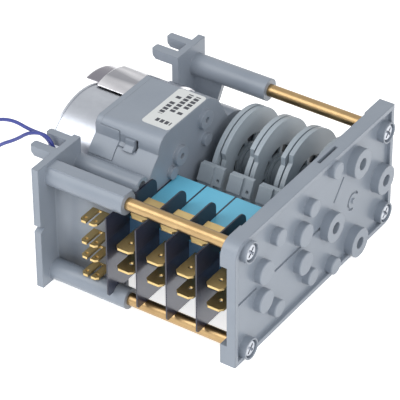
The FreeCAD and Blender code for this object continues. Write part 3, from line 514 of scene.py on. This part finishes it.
def label_paper():
    """White paper with rows of plain bars: three along Y and a short one along X."""
    finish = Finish("label paper")
    low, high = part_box("rating_label")
    across = (finish.along(0) - low.x) * (1.0 / (high.x - low.x))
    along = (finish.along(1) - low.y) * (1.0 / (high.y - low.y))

    def bars(side, centre, half_width, length, start, end, count):
        """One row: count cells over the whole length, of which some are left out by white noise."""
        row = (side - centre).maths("ABSOLUTE").below(half_width)
        stroke = (length * count).maths("FRACT").below(0.74)
        cell = finish.node("ShaderNodeCombineXYZ", {
            0: (length * count).maths("FLOOR"), 1: centre * 40.0, 2: 0.0})
        kept = finish.node("ShaderNodeTexWhiteNoise", {"Vector": cell}).above(0.22)
        return row * stroke * kept * length.above(start) * length.below(end)

    ink = bars(along, 0.15, 0.04, across, 0.34, 0.88, 6.0)
    for centre, start, end in ((0.26, 0.30, 0.90), (0.52, 0.42, 0.94), (0.78, 0.32, 0.94)):
        ink = ink + bars(across, centre, 0.085, along, start, end, 12.0)
    finish.set(Base_Color=finish.mix(ink, tone(216, 219, 219), tone(66, 68, 76)), Roughness=0.6)
    return finish.material


def wire_coat():
    """Soft blue PVC."""
    finish = Finish("blue wire coat")
    patch = finish.noise(200.0, 3.0, 0.5)
    finish.set(Base_Color=finish.mix(patch, tone(34, 44, 120), tone(58, 72, 158)),
               Roughness=patch * 0.1 + 0.34)
    return finish.material


def clear_sleeve():
    """Milky clear PVC over the receptacles."""
    finish = Finish("clear sleeve")
    patch = finish.noise(150.0, 2.0, 0.5)
    finish.set(Base_Color=finish.mix(patch, tone(206, 214, 226), tone(226, 231, 238)),
               Roughness=patch * 0.1 + 0.22)
    finish.shader.inputs["Transmission Weight"].default_value = 0.55
    return finish.material


finishes["black_sheet"] = sheet_film()
finishes["label_paper"] = label_paper()
finishes["blue_insulation"] = wire_coat()
finishes["clear_sleeve"] = clear_sleeve()
print("finishes in all:", len(finishes))

# %% [markdown]
# The imported record says which finish each solid takes. Every solid's slots are
# filled from that list, and the new pieces are given theirs one by one.

# %% giving each part its finish
for entry in frame["record"]["subparts"]:
    solid = frame["nodes"][entry["node"]]
    chosen = tab_brass_painted_light if "terminals" in entry["node"] else finishes[entry["material_slot"]]
    if not solid.data.materials:
        solid.data.materials.append(chosen)
    for k in range(len(solid.data.materials)):
        solid.data.materials[k] = chosen


def dress(thing, slot, own=None):
    """Gives a new piece its slot's finish, or one of its own."""
    thing.data.materials.append(own or finishes[slot])


dress(front_lead, "blue_insulation")
dress(rear_lead, "blue_insulation")
for soft, tab in zip(sleeves, receptacles):
    dress(soft, "clear_sleeve")
    dress(tab, "brass")

# %% [markdown]
# A moulded wall closes the front corner of the left plate behind the twin tabs. Its
# plan is a straight stretch that swings forward in a quarter circle to meet the
# plate. The plan is made once and stacked at two heights.

# %% wall behind the twin tabs
wall_left = 2.6
wall_front = 12.0
wall_thickness = 1.3
wall_corner = 4.0
wall_low = 0.8
wall_high = 38.0
sheet_gap = 0.3


def corner_wall():
    """Plan at offset d from the face, r = R + d: (x0 + R - r cos a, y0 - R + r sin a), then straight."""
    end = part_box("insulating_sheet_1")[0].x / MM + middle.x / MM - sheet_gap
    angle = np.linspace(0.0, np.pi / 2.0, 12)
    faces = []
    for d in (0.0, wall_thickness):
        r = wall_corner + d
        x = np.append(wall_left + wall_corner - r * np.cos(angle), end)
        y = np.append(wall_front - wall_corner + r * np.sin(angle), wall_front + d)
        faces.append(np.stack([x, y], axis=-1))
    plan = np.concatenate([faces[0], faces[1][::-1]])
    rings = []
    for z in (wall_low, wall_high):
        ring = np.column_stack([plan, np.full(len(plan), z)]) * MM
        rings.append(ring - np.array([middle.x, middle.y, 0.0]))
    return ring_surface("corner_wall", np.array(rings))


# painted light: the recessed wall takes a paler copy of the grey nylon, which lifts the shade of its
# recess
wall_painted_light_grey = moulded("paler grey nylon", tone(140, 150, 163), tone(158, 166, 177), 0.42, plate_edge)
wall = corner_wall()
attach(wall, "frame")
dress(wall, "grey_plastic", wall_painted_light_grey)
for polygon in wall.data.polygons:
    polygon.use_smooth = abs(polygon.normal.z) < 0.5 and abs(polygon.normal.x) < 0.98
print("wall behind the twin tabs placed")

# %% [markdown]
# Each lever has a raised face on its left side above the switch, and the narrower
# right side with the small hole lies a little deeper. The raised face follows the
# slope of the solid, whose top front edge is read from its corners.

# %% raised faces of the levers
face_width = 5.0 * MM
face_rise = 0.85 * MM
face_sink = 0.15 * MM
face_edge = 0.25 * MM
face_foot = 0.2 * MM
knee = placed(0.0, 48.2, 23.4)[1:]


def lever_face(number):
    """A thin plate on the slope from above the knee to the top edge, standing out along its normal.

    Its back lies inside the lever, so that no gap shows."""
    name = "lever_%d" % number
    low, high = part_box(name)
    corners = [v.co for v in frame["nodes"][name].data.vertices]
    top_y = min(c.y for c in corners if c.z > high.z - 0.1 * MM)
    bottom = np.array(knee)
    top = np.array([top_y, high.z])
    run = (top - bottom) / np.linalg.norm(top - bottom)
    out = np.array([-run[1], run[0]])
    bottom = bottom + run * face_foot
    sunk = -out * face_sink
    profile = [top + sunk, top + out * (face_rise - face_edge),
               top - run * face_edge + out * face_rise,
               bottom + out * face_rise, bottom + sunk]
    rings = [[(x, y, z) for y, z in profile] for x in (low.x, low.x + face_width)]
    return ring_surface(name + "_face", np.array(rings))


def flat_shaded(thing):
    """Shows every face of a piece as flat."""
    thing.data.polygons.foreach_set("use_smooth", np.zeros(len(thing.data.polygons), dtype=bool))
    return thing


for number in range(1, 5):
    plate = flat_shaded(lever_face(number))
    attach(plate, "lever_%d" % number)
    dress(plate, "cam_plastic")
print("raised faces on 4 levers")

# %% [markdown]
# Between the two discs of each cam pair lies a thin ring of painted shade: a dark
# ring that closes the view through the slots of both dishes, so that they look like
# shaded openings with depth.

# %% dark rings of painted shade between the cam discs
shade_ring_inner = 6.2 * MM
shade_ring_outer = 10.0 * MM
shade_ring_gap = 0.1 * MM
shade_ring_sides = 48


def cam_shade_ring(number):
    """A flat ring about the camshaft: a rectangle turned round it, at y + r cos a and z + r sin a."""
    shaft_low, shaft_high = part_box("camshaft")
    axis_y, axis_z = (shaft_low.y + shaft_high.y) / 2.0, (shaft_low.z + shaft_high.z) / 2.0
    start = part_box("cam_%d_left" % number)[1].x + shade_ring_gap
    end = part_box("cam_%d_right" % number)[0].x - shade_ring_gap
    profile = (
        (start, shade_ring_inner), (end, shade_ring_inner), (end, shade_ring_outer), (start, shade_ring_outer))
    rings = []
    for angle in np.linspace(0.0, 2.0 * np.pi, shade_ring_sides + 1):
        across, rise = np.cos(angle), np.sin(angle)
        rings.append([(x, axis_y + r * across, axis_z + r * rise) for x, r in profile])
    rings[-1] = rings[0]
    return ring_surface("cam_%d_washer" % number, np.array(rings), capped=False)


for number in range(1, 5):
    shade_ring = flat_shaded(cam_shade_ring(number))
    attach(shade_ring, "cam_drum")
    # painted shade: the ring takes the near-black dark plastic, standing in for the shade inside the cam
    dress(shade_ring, "dark_plastic")
print("washers in 4 cam pairs")

# %% [markdown]
# The machine stands on a plain pale floor under big soft lamps. The world is plain
# white where the camera, glossy and transmission rays look, and dimmer as a light,
# so metal and film mirror the same white room that the picture shows.

# %% floor, world and lamps
floor_reach = 0.5
floor_seen = 0.72
world_light = 0.55
black = (0.0, 0.0, 0.0, 1.0)
white = (1.0, 1.0, 1.0, 1.0)
floor_grey = (0.90, 0.90, 0.90, 1.0)

corners = [(-1.0, -1.0), (1.0, -1.0), (1.0, 1.0), (-1.0, 1.0)]
floor_mesh = bpy.data.meshes.new("floor")
floor_mesh.from_pydata([(x * floor_reach, y * floor_reach, 0.0) for x, y in corners], [], [(0, 1, 2, 3)])
floor = bpy.data.objects.new("floor", floor_mesh)
bpy.context.scene.collection.objects.link(floor)
ground = Finish("pale floor")
looked_at = ground.node("ShaderNodeLightPath", {}, output="Is Camera Ray")
mirrored = ground.node("ShaderNodeLightPath", {}, output="Is Glossy Ray")
glow = (looked_at * floor_seen).maths("MAXIMUM", mirrored)
ground.set(Base_Color=floor_grey, Roughness=0.9, Emission_Strength=1.0,
           Emission_Color=ground.mix(glow, black, white))
ground.shader.inputs["Specular IOR Level"].default_value = 0.1
floor_mesh.materials.append(ground.material)

world = bpy.data.worlds.new("white room")
world.use_nodes = True
room = Nodes(world.node_tree)
background = room.tree.nodes["Background"]
seen, glossy, through = [
    room.node("ShaderNodeLightPath", {}, output="Is %s Ray" % kind)
    for kind in ("Camera", "Glossy", "Transmission")]
direct = seen.maths("MAXIMUM", glossy).maths("MAXIMUM", through)
room.feed(background.inputs["Strength"], room.node(
    "ShaderNodeMapRange", {"Value": direct, "To Min": world_light, "To Max": 1.0}))
background.inputs["Color"].default_value = white
bpy.context.scene.world = world

lamp_target = Vector((0.0, 0.0, 0.02))


def soft_lamp(name, spot, size, power):
    """A square area lamp that looks at the middle of the machine."""
    data = bpy.data.lights.new(name, "AREA")
    data.size = size
    data.energy = power
    lamp = bpy.data.objects.new(name, data)
    lamp.location = spot
    aim = lamp_target - Vector(spot)
    lamp.rotation_euler = aim.to_track_quat("-Z", "Y").to_euler()
    bpy.context.scene.collection.objects.link(lamp)


soft_lamp("key", (0.85, -0.45, 0.6), 0.7, 5.3)
soft_lamp("fill", (-0.5, -0.62, 0.8), 0.7, 4.0)
soft_lamp("front", (-0.1, -1.2, 0.2), 0.6, 2.8)
print("floor, world and 3 lamps placed")
